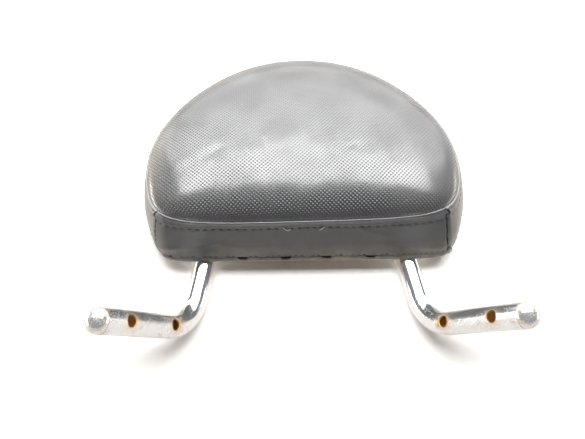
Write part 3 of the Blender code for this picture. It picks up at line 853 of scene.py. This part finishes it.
def weld_bead(name, side, y):
    """Rippled bead of weld where a tab meets the underside of the hoop's leg."""
    inward = Vector((-side * math.cos(LEG_SPLAY), -math.sin(LEG_SPLAY), 0.0))
    out = math.sqrt(TUBE_R ** 2 - (TAB_Z - TUBE_R) ** 2)
    middle = leg_point(y, side) + inward * (out + 0.5 * MM)
    middle.z = TAB_Z - 0.3 * MM
    along = leg_direction(side)
    turns = np.linspace(0.0, 2 * math.pi, 13)
    rows = []
    for share in np.linspace(-1.0, 1.0, 61):
        ripple = WELD_RIPPLE * abs(math.sin(share * WELD_RIPPLES))
        girth = (WELD_R + ripple) * MM * max(1.0 - share ** 8, 0.0) ** 0.5
        centre = middle + along * (share * (TAB_LENGTH / 2 - 0.8 * MM))
        rows.append([centre + inward * girth * math.cos(t) + Vector((0, 0, girth * 0.8 * math.sin(t)))
                     for t in turns])
    return smooth(face_outwards(sheet(name, np.array(rows), closed=True)))


def end_dome(side, word):
    """Domed plug: a sphere cut in half above a plain spigot."""
    clear_selection()
    bpy.ops.mesh.primitive_uv_sphere_add(segments=TUBE_SIDES, ring_count=36, radius=TUBE_R)
    obj = made(f"dome_{word}")
    edit_all(obj)
    bpy.ops.mesh.bisect(plane_co=(0, 0, 0), plane_no=(0, 0, 1), clear_inner=True, use_fill=False)
    bpy.ops.object.mode_set(mode="OBJECT")
    bm = bmesh.new()
    bm.from_mesh(obj.data)
    spigot = TUBE_R - TUBE_WALL - JOINT_GAP
    for ring_r, z in ((TUBE_R - 0.15 * MM, -0.12 * MM), (spigot, -0.12 * MM), (spigot, -SPIGOT_LENGTH)):
        for vert in grow_rim(bm):
            flat = Vector((vert.co.x, vert.co.y, 0.0)).normalized() * ring_r
            vert.co = (flat.x, flat.y, z)
    cap_rim(bm)
    turn = Vector((0, 0, 1)).rotation_difference(arm_direction(side)).to_matrix().to_4x4()
    bm.transform(Matrix.Translation(arm_point(ARM_LENGTH, side)) @ turn)
    bm.to_mesh(obj.data)
    bm.free()
    mark(obj, "rust", np.full(len(obj.data.vertices), DOME_STAIN))
    return smooth(obj, 40)


# Node helpers

class Value:
    """Output of a node; arithmetic on it adds the nodes."""

    def __init__(self, tree, socket):
        self.tree = tree
        self.socket = socket

    def maths(self, operation, other=0.0, clamp=False):
        return value(self.tree, "ShaderNodeMath", {0: self, 1: other}, operation=operation,
                     use_clamp=clamp)

    def __add__(self, other):
        return self.maths("ADD", other)

    def __sub__(self, other):
        return self.maths("SUBTRACT", other)

    def __mul__(self, other):
        return self.maths("MULTIPLY", other)

    def __abs__(self):
        return self.maths("ABSOLUTE")

    def ranged(self, low, high, to_low=0.0, to_high=1.0):
        """Carried from one range to another and held inside it."""
        return value(self.tree, "ShaderNodeMapRange", {"Value": self, "From Min": low, "From Max": high,
                                                       "To Min": to_low, "To Max": to_high})

    def graded(self, clear, covered):
        """One number where this mask is 0, and another where it is 1."""
        return self.ranged(0.0, 1.0, clear, covered)

    def mix(self, first, second):
        """Colour between two, with this as the factor."""
        return value(self.tree, "ShaderNodeMix", {0: self, 6: first, 7: second}, 2, data_type="RGBA")

    def bump(self, strength, distance):
        """Normal, with this as the height."""
        return value(self.tree, "ShaderNodeBump", {"Height": self, "Strength": strength,
                                                   "Distance": distance})

    def axes(self):
        split = node(self.tree, "ShaderNodeSeparateXYZ", {0: self})
        return [Value(self.tree, socket) for socket in split.outputs]


def feed(target, values):
    """Set a node's inputs, each to a number, a colour or a Value."""
    for key, given in values.items():
        socket = target.inputs[key]
        if isinstance(given, Value):
            given.tree.links.new(given.socket, socket)
        elif socket.type == "RGBA":
            socket.default_value = (*given, 1.0)
        else:
            socket.default_value = given


def node(tree, kind, values=None, **settings):
    """Add a node, with settings as attributes and input values by name or number."""
    fresh = tree.nodes.new(kind)
    for key, setting in settings.items():
        setattr(fresh, key, setting)
    feed(fresh, values or {})
    return fresh


def value(tree, kind, values=None, output=0, **settings):
    """Add a node and give one of its outputs."""
    return Value(tree, node(tree, kind, values, **settings).outputs[output])


def place_in(tree, space="Object"):
    return value(tree, "ShaderNodeTexCoord", output=space)


def seen_by(tree, ray):
    return value(tree, "ShaderNodeLightPath", output=f"Is {ray} Ray")


def group(name, output, **inputs):
    """Empty node group with float inputs and one float output."""
    tree = bpy.data.node_groups.new(name, "ShaderNodeTree")
    for label, default in inputs.items():
        socket = tree.interface.new_socket(label, in_out="INPUT", socket_type="NodeSocketFloat")
        socket.default_value = default
    tree.interface.new_socket(output, in_out="OUTPUT", socket_type="NodeSocketFloat")
    given = node(tree, "NodeGroupInput")
    return tree, [Value(tree, given.outputs[label]) for label in inputs], node(tree, "NodeGroupOutput")


def from_group(tree, group_tree, **values):
    """Output of a node group that is placed with some values."""
    return value(tree, "ShaderNodeGroup", values, node_tree=group_tree)


def blotches_group():
    """Soft uneven patches: a mask from 0 to 1 of a given scale and cover."""
    tree, (scale, low, high), out = group("blotches", "Mask", Scale=30.0, Low=0.45, High=0.7)
    noise = value(tree, "ShaderNodeTexNoise", {"Vector": place_in(tree), "Scale": scale,
                                               "Detail": 5.0, "Roughness": 0.6}, "Fac")
    feed(out, {"Mask": noise.ranged(low, high)})
    return tree


def specks_group():
    """Small sharp dots of a given scale and size, with slightly ragged edges."""
    tree, (scale, size), out = group("specks", "Mask", Scale=300.0, Size=0.2)
    place = place_in(tree)
    warp = value(tree, "ShaderNodeTexNoise", {"Vector": place, "Scale": 400.0, "Detail": 2.0}, "Color")
    ragged = value(tree, "ShaderNodeMix", {0: 0.0006, 4: place, 5: warp}, 1, data_type="VECTOR")
    cells = value(tree, "ShaderNodeTexVoronoi", {"Vector": ragged, "Scale": scale}, "Distance")
    feed(out, {"Mask": (size - cells).maths("MULTIPLY", 12.0, clamp=True)})
    return tree


def grain_group():
    """Fine leather-like grain as a height."""
    tree, (scale,), out = group("grain", "Height", Scale=900.0)
    where = {"Vector": place_in(tree), "Scale": scale}
    cells = value(tree, "ShaderNodeTexVoronoi", where, "Distance", feature="SMOOTH_F1")
    noise = value(tree, "ShaderNodeTexNoise", {**where, "Detail": 3.0}, "Fac")
    feed(out, {"Height": cells + noise})
    return tree


def pit_mask(tree):
    """Staggered flat ovals in the front's UV map, 1 inside a pit."""
    turns = [2 * math.pi * count * GRID_STEP / PIT_PITCH for count in (GRID_COLUMNS, GRID_ROWS)]
    x, y, _ = value(tree, "ShaderNodeVectorMath", {0: place_in(tree, "UV"), 1: (*turns, 1.0)},
                    operation="MULTIPLY").axes()
    lattice = x.maths("COSINE") * y.maths("COSINE")
    embossed = value(tree, "ShaderNodeAttribute", output="Fac", attribute_name="embossed")
    return lattice.ranged(-0.15, 0.85) * embossed


# Materials. Places of wear, of painted reflections and of the painted highlight are ranges along an
# axis of the part, in metres.

FLANK_MIDDLE = 0.004
FLANK_X = (0.121, 0.139)
FLANK_Y = (-0.042, -0.008)
LOW_Z = (0.038, 0.022)
FAR_SIDE_X = (0.118, 0.138)
NEAR_SIDE_Y = (-0.032, -0.058)
ARM_Y = (-0.10, -0.135)
CHROME = (0.80, 0.81, 0.82)


def new_material(name, colour, roughness, metallic=0.0):
    material = bpy.data.materials.new(name)
    material.use_nodes = True
    tree = material.node_tree
    shader = tree.nodes["Principled BSDF"]
    feed(shader, {"Base Color": colour, "Roughness": roughness, "Metallic": metallic})
    return material, tree, shader


def vinyl(name, colour, roughness, specular, coat_roughness, sheen):
    """Coated vinyl with a little warm dust on it."""
    material, tree, shader = new_material(name, colour, roughness)
    feed(shader, {"Specular IOR Level": specular, "Coat Roughness": coat_roughness, "Coat IOR": 1.6,
                  "Sheen Weight": sheen, "Sheen Roughness": 0.35, "Sheen Tint": (1.0, 0.95, 0.86)})
    return material, tree, shader


def embossed_vinyl():
    """Front: pits without coat and painted near black as shade, worn coat in patches, pale specks, and
    pale lower flanks that are a painted reflection.
    """
    material, tree, shader = vinyl("embossed_vinyl", (0.035, 0.036, 0.038), 0.32, 1.0, 0.20, 0.10)
    x, y, _ = place_in(tree).axes()
    wear = from_group(tree, BLOTCHES, Scale=22.0, Low=0.42, High=0.75)
    worn_off = from_group(tree, BLOTCHES, Scale=30.0, Low=0.40, High=0.66)
    specks = from_group(tree, SPECKS, Scale=70.0, Size=0.055)
    grain = from_group(tree, GRAIN, Scale=1500.0) * 0.000014
    # Pale lower flanks of the crown: a painted reflection of the floor.
    painted_flank_reflection = abs(x - FLANK_MIDDLE).ranged(*FLANK_X, 0.0, 0.8) * y.ranged(*FLANK_Y)
    pit = pit_mask(tree)
    colour = wear.mix((0.015, 0.014, 0.013), (0.036, 0.033, 0.029))
    colour = specks.mix(colour, (0.42, 0.36, 0.28))
    colour = painted_flank_reflection.mix(colour, (0.42, 0.385, 0.32))
    # Pits are painted near black as the shade in them, besides losing their coat and gaining roughness.
    feed(shader, {"Base Color": (pit * 0.9).mix(colour, (0.008, 0.008, 0.008)),
                  "Coat Weight": pit.graded(1.0, 0.0) * worn_off.graded(1.0, 0.45),
                  "Roughness": wear.graded(0.28, 0.40) + pit * 0.35,
                  "Normal": (grain - pit * PIT_DEPTH).bump(1.0, 1.0)})
    return material


def plain_vinyl():
    """Bands and hem: dust on the low edge, a painted reflection on the far sides, and a polished fold
    in front whose lighter colour is a painted highlight.
    """
    material, tree, shader = vinyl("plain_vinyl", (0.035, 0.037, 0.04), 0.42, 0.65, 0.38, 0.12)
    x, y, z = place_in(tree).axes()
    wear = from_group(tree, BLOTCHES, Scale=28.0, Low=0.40, High=0.72)
    dusty = z.ranged(*LOW_Z).maths("MULTIPLY", wear + 0.28, clamp=True)
    # Pale far sides: a painted reflection of the floor, varied by the wear blotches.
    painted_side_reflection = abs(x).ranged(*FAR_SIDE_X) * (wear * 0.35 + 0.55)
    # Fold in front: really polished, with less roughness and more coat, and its lighter colour a
    # painted highlight.
    level = SEAM_Z - WEDGE * (MIDDLE_Y - WIDEST_Y + SEAM_BELOW)
    fold = (z + y * WEDGE).ranged(level - 1.5 * MM, level - 0.4 * MM) * y.ranged(*NEAR_SIDE_Y)
    colour = wear.mix((0.020, 0.024, 0.028), (0.046, 0.047, 0.046))
    colour = dusty.mix(colour, (0.19, 0.165, 0.125))
    colour = painted_side_reflection.mix(colour, (0.46, 0.43, 0.37))
    feed(shader, {"Base Color": (fold * 0.6).mix(colour, (0.10, 0.10, 0.10)),
                  "Roughness": wear.graded(0.40, 0.52) - fold * 0.16,
                  "Coat Weight": fold.graded(0.35, 1.0),
                  "Normal": from_group(tree, GRAIN, Scale=1100.0).bump(0.3, 0.0001)})
    return material


def chrome_plate():
    """Chrome with pitted, stained and slightly hazed arms, and rust where "rust" says."""
    material, tree, shader = new_material("chrome_plate", CHROME, 0.12, 1.0)
    worn = place_in(tree).axes()[1].ranged(*ARM_Y)
    patches = from_group(tree, BLOTCHES, Scale=60.0, Low=0.42, High=0.62)
    pitted = from_group(tree, SPECKS, Scale=750.0, Size=0.33) * patches * worn
    stains = from_group(tree, BLOTCHES, Scale=120.0, Low=0.58, High=0.7)
    rust = value(tree, "ShaderNodeAttribute", output="Fac", attribute_name="rust")
    spread = rust.maths("MULTIPLY", stains + 0.7, clamp=True)
    colour = (pitted * 0.75).mix(CHROME, (0.22, 0.20, 0.18))
    colour = (stains * worn * 0.5).mix(colour, (0.52, 0.37, 0.29))
    feed(shader, {"Base Color": spread.mix(colour, (0.78, 0.40, 0.10)),
                  "Roughness": (pitted + spread).graded(0.12, 0.55),
                  "Metallic": spread.graded(1.0, 0.2) * worn.graded(1.0, 0.74),
                  "Normal": (pitted * -1.0).bump(0.5, 0.0002)})
    return material


# Rust in the bore and the drilled holes; its colours, raised well past rust's own, are painted light
# inside the bore.
def bore_rust_and_painted_light():
    material, tree, shader = new_material("bore_rust_and_painted_light", (0.6, 0.38, 0.2), 0.85)
    patches = from_group(tree, BLOTCHES, Scale=260.0, Low=0.35, High=0.65)
    feed(shader, {"Base Color": patches.mix((1.0, 0.62, 0.24), (1.0, 0.86, 0.56)),
                  "Normal": from_group(tree, GRAIN, Scale=900.0).bump(0.6, 0.0003)})
    return material


def plywood():
    """Plywood with long grain, its edges painted near black as shade behind the hem's gaps."""
    material, tree, shader = new_material("plywood", (0.42, 0.29, 0.17), 0.7)
    stretch = value(tree, "ShaderNodeMapping", {"Vector": place_in(tree), "Scale": (6.0, 60.0, 6.0)})
    rings = value(tree, "ShaderNodeTexNoise", {"Vector": stretch, "Scale": 3.0, "Detail": 6.0,
                                               "Roughness": 0.65}, "Fac")
    facing = value(tree, "ShaderNodeNewGeometry", output="Normal").axes()[2]
    colour = rings.ranged(0.35, 0.68).mix((0.27, 0.16, 0.08), (0.50, 0.35, 0.20))
    # Upright faces, the board's edges, are painted near black: painted shade behind the hem's gaps.
    feed(shader, {"Base Color": abs(facing).mix((0.035, 0.026, 0.02), colour),
                  "Normal": rings.bump(0.3, 0.0004)})
    return material


def foam():
    material, tree, shader = new_material("foam", (0.62, 0.55, 0.36), 0.9)
    cells = from_group(tree, GRAIN, Scale=700.0)
    feed(shader, {"Base Color": cells.ranged(0.5, 1.2).mix((0.48, 0.40, 0.22), (0.68, 0.61, 0.42)),
                  "Normal": cells.bump(0.8, 0.0006)})
    return material


def plated(name, colour, roughness):
    """Plated steel with dull patches."""
    material, tree, shader = new_material(name, colour, roughness, 1.0)
    patches = from_group(tree, BLOTCHES, Scale=140.0, Low=0.4, High=0.7)
    feed(shader, {"Base Color": patches.mix(colour, tuple(0.6 * c for c in colour)),
                  "Roughness": patches.graded(roughness, roughness + 0.2)})
    return material


def thread(name, dark, light):
    """Twisted sewing thread."""
    material, tree, shader = new_material(name, dark, 0.6)
    twist = value(tree, "ShaderNodeTexWave", {"Vector": place_in(tree), "Scale": 900.0,
                                              "Distortion": 1.0}, "Fac")
    feed(shader, {"Base Color": twist.mix(dark, light), "Normal": twist.bump(0.5, 0.0001)})
    return material


BLOTCHES = blotches_group()
SPECKS = specks_group()
GRAIN = grain_group()
front_vinyl = embossed_vinyl()
edge_vinyl = plain_vinyl()
chrome = chrome_plate()
rust_and_painted_light = bore_rust_and_painted_light()
wood = plywood()
foam_fill = foam()
tab_steel = plated("tab_steel", (0.62, 0.63, 0.64), 0.28)
zinc = plated("zinc", (0.58, 0.58, 0.54), 0.36)
black_thread = thread("thread", (0.016, 0.015, 0.012), (0.06, 0.055, 0.042))
pale_thread = thread("pale_thread", (0.30, 0.27, 0.22), (0.52, 0.48, 0.40))


# Pieces

# Loose thread ends: radius, and points as degrees round the pad, millimetres below the seam
# and millimetres off the skin
THREAD_ENDS = (
    ("thread_end_left", pale_thread, 0.5,
     (-104.5, 5.4, 0.4), (-103.0, 6.6, 1.3), (-101.0, 7.4, 1.5), (-99.6, 6.6, 1.0)),
    ("thread_end_right", pale_thread, 0.55,
     (-80.5, 8.4, 0.9), (-79.0, 7.0, 1.5), (-77.0, 5.4, 0.5)),
    ("thread_tail", black_thread, 0.38,
     (-31.0, 33.0, 0.6), (-30.4, 35.5, 1.8), (-31.2, 37.5, 2.4), (-32.4, 38.0, 1.6)))
SIDES = ((-1, "left"), (1, "right"))


def place(obj, material, slot, *replaced):
    """Give a piece its material, and say what it rides on and stands for."""
    if material is not None:
        obj.data.materials.clear()
        obj.data.materials.append(material)
    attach(obj, "root")
    if replaced:
        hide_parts(*replaced)
    return obj


front = place(front_panel(), front_vinyl, "embossed_vinyl", "front_panel")
place(band("bottom_band_cover", -1), edge_vinyl, "plain_vinyl", "bottom_band")
place(band("side_band_cover", 1), edge_vinyl, "plain_vinyl", "side_band")
place(hem(), edge_vinyl, "plain_vinyl", "hem_strip")
place(sew_band("bottom_stitches", -1), black_thread, "plain_vinyl")
place(sew_band("side_stitches", 1), black_thread, "plain_vinyl")
place(sew_hem(), black_thread, "plain_vinyl")
for side, word in SIDES:
    place(sew_corner(f"corner_stitches_{word}", side), black_thread, "plain_vinyl")
place(staples(), zinc, "zinc")
for name, finish, radius, *knots in THREAD_ENDS:
    place(thread_end(name, radius, *knots), finish, "plain_vinyl")

tube = hoop()
rust_near_holes(tube)
place(tube, None, "chrome", "hoop_tube")
for side, word in SIDES:
    place(weld_bead(f"weld_lower_{word}", side, TAB_LOWER_Y), tab_steel, "tab_steel")
    place(weld_bead(f"weld_upper_{word}", side, TAB_UPPER_Y), tab_steel, "tab_steel")
for side, word in SIDES:
    place(end_dome(side, word), chrome, "chrome", f"end_dome_{word}")

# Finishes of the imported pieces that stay, by the start of their names
FINISHES = {"tab_": tab_steel, "bolt_": zinc, "washer_": zinc, "tee_nut_": zinc,
            "base_board": wood, "foam_core": foam_fill}
for name, cad_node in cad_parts.items():
    for start, finish in FINISHES.items():
        if name.startswith(start):
            cad_node.data.materials.clear()
            cad_node.data.materials.append(finish)


# Floor, light and camera

LAMP_DISTANCE = 2.4
LAMP_TARGET = Vector((0.0, 0.03, 0.05))
SIDE_WARMTH = (1.0, 0.95, 0.86)
CAMERA_PLACE = (-0.0180, -0.1694 - MIDDLE_Y, 0.3893)
CAMERA_YAW = math.radians(1.65)
CAMERA_PITCH = math.radians(60.68)
CAMERA_ROLL = math.radians(-0.90)
SENSOR_WIDTH = 36.0
FOCAL_SHARE = 460.0 / 585.0


def floor_paint():
    """Pale floor that keeps the shadow, and that the camera sees as overexposed paper, except that its
    glow for the camera fades out towards the pad, a painted shade around it.
    """
    material, tree, shader = new_material("floor_paint", (0.93, 0.93, 0.92), 0.9)
    camera = seen_by(tree, "Camera")
    away = value(tree, "ShaderNodeVectorMath", {0: place_in(tree)}, "Value", operation="LENGTH")
    # Glow for the camera fades out near the pad, so the floor round it is painted dimmer: painted
    # shade.
    strength = camera * away.ranged(0.35, 1.6, 0.02, 1.0) + seen_by(tree, "Glossy") * 0.36
    glow = value(tree, "ShaderNodeEmission", {"Color": (1.0, 0.84, 0.72), "Strength": strength})
    bleached = value(tree, "ShaderNodeBsdfDiffuse", {
        "Color": camera.mix((0.0, 0.0, 0.0), (0.68, 0.67, 0.66))})
    pale = value(tree, "ShaderNodeAddShader", {0: Value(tree, shader.outputs[0]), 1: bleached})
    lit = value(tree, "ShaderNodeAddShader", {0: pale, 1: glow})
    feed(tree.nodes["Material Output"], {"Surface": lit})
    return material


def studio_world():
    """White to the camera, a pale horizon under grey in reflections, and a low warm fill."""
    world = bpy.data.worlds.new("studio")
    world.use_nodes = True
    tree = world.node_tree
    tree.nodes.clear()
    height = place_in(tree, "Generated").axes()[2].ranged(0.10, 0.24)
    mirrored = height.mix((1.0, 0.985, 0.96), (0.27, 0.295, 0.33))
    plain, reflected, fill = (
        value(tree, "ShaderNodeBackground", {"Color": colour, "Strength": strength})
        for colour, strength in (((1.0, 1.0, 1.0), 1.0), (mirrored, 1.0), ((1.0, 0.82, 0.68), 0.08)))
    shiny = seen_by(tree, "Glossy").maths("MAXIMUM", seen_by(tree, "Transmission"))
    light = value(tree, "ShaderNodeMixShader", {0: shiny, 1: fill, 2: reflected})
    seen = value(tree, "ShaderNodeMixShader", {0: seen_by(tree, "Camera"), 1: light, 2: plain})
    node(tree, "ShaderNodeOutputWorld", {0: seen})
    return world


def softbox(name, turn, rise, width, height, radiance, mirrored, colour=(1.0, 1.0, 1.0)):
    """Rectangle of light that faces the pad, turned from its far side and raised by degrees.

    A mirrored one shows only in gloss, the other only lights.
    """
    lamp = bpy.data.lights.new(name, "AREA")
    lamp.shape = "RECTANGLE"
    lamp.size = width
    lamp.size_y = height
    lamp.energy = radiance * math.pi * width * height
    lamp.color = colour
    obj = added(name, lamp)
    turn = math.radians(turn)
    rise = math.radians(rise)
    away = Vector((math.sin(turn) * math.cos(rise), math.cos(turn) * math.cos(rise), math.sin(rise)))
    obj.location = LAMP_TARGET + LAMP_DISTANCE * away
    obj.rotation_mode = "QUATERNION"
    obj.rotation_quaternion = (LAMP_TARGET - obj.location).to_track_quat("-Z", "Y")
    obj.visible_camera = False
    obj.visible_diffuse = not mirrored
    obj.visible_glossy = mirrored


def photo_camera():
    """Camera fitted to the photo, from its yaw, its pitch downwards and its roll."""
    data = bpy.data.cameras.new("camera")
    data.sensor_width = SENSOR_WIDTH
    data.lens = FOCAL_SHARE * SENSOR_WIDTH
    data.clip_start = 0.01
    camera = added("camera", data)
    camera.matrix_world = (Matrix.Translation(CAMERA_PLACE) @ Matrix.Rotation(-CAMERA_YAW, 4, "Z")
                           @ Matrix.Rotation(math.pi / 2 - CAMERA_PITCH, 4, "X")
                           @ Matrix.Rotation(-CAMERA_ROLL, 4, "Z"))
    return camera


clear_selection()
bpy.ops.mesh.primitive_plane_add(size=8.0)
floor = made("floor")
floor.data.materials.append(floor_paint())
bpy.context.scene.world = studio_world()
softbox("key_light", 0, 80, 2.2, 1.25, 6.9, False)
softbox("window_low", 0, 13, 5.2, 0.93, 2.2, True)
softbox("window_middle", 3, 34, 4.8, 0.84, 4.4, True)
softbox("window_high", 4, 61.6, 3.6, 1.42, 9.9, True)
softbox("left_side", -88, 4, 2.2, 0.45, 12.0, True, SIDE_WARMTH)
softbox("right_side", 86, 5, 2.2, 0.5, 5.0, True, SIDE_WARMTH)
bpy.context.scene.camera = photo_camera()
bpy.context.scene.view_settings.view_transform = "Standard"
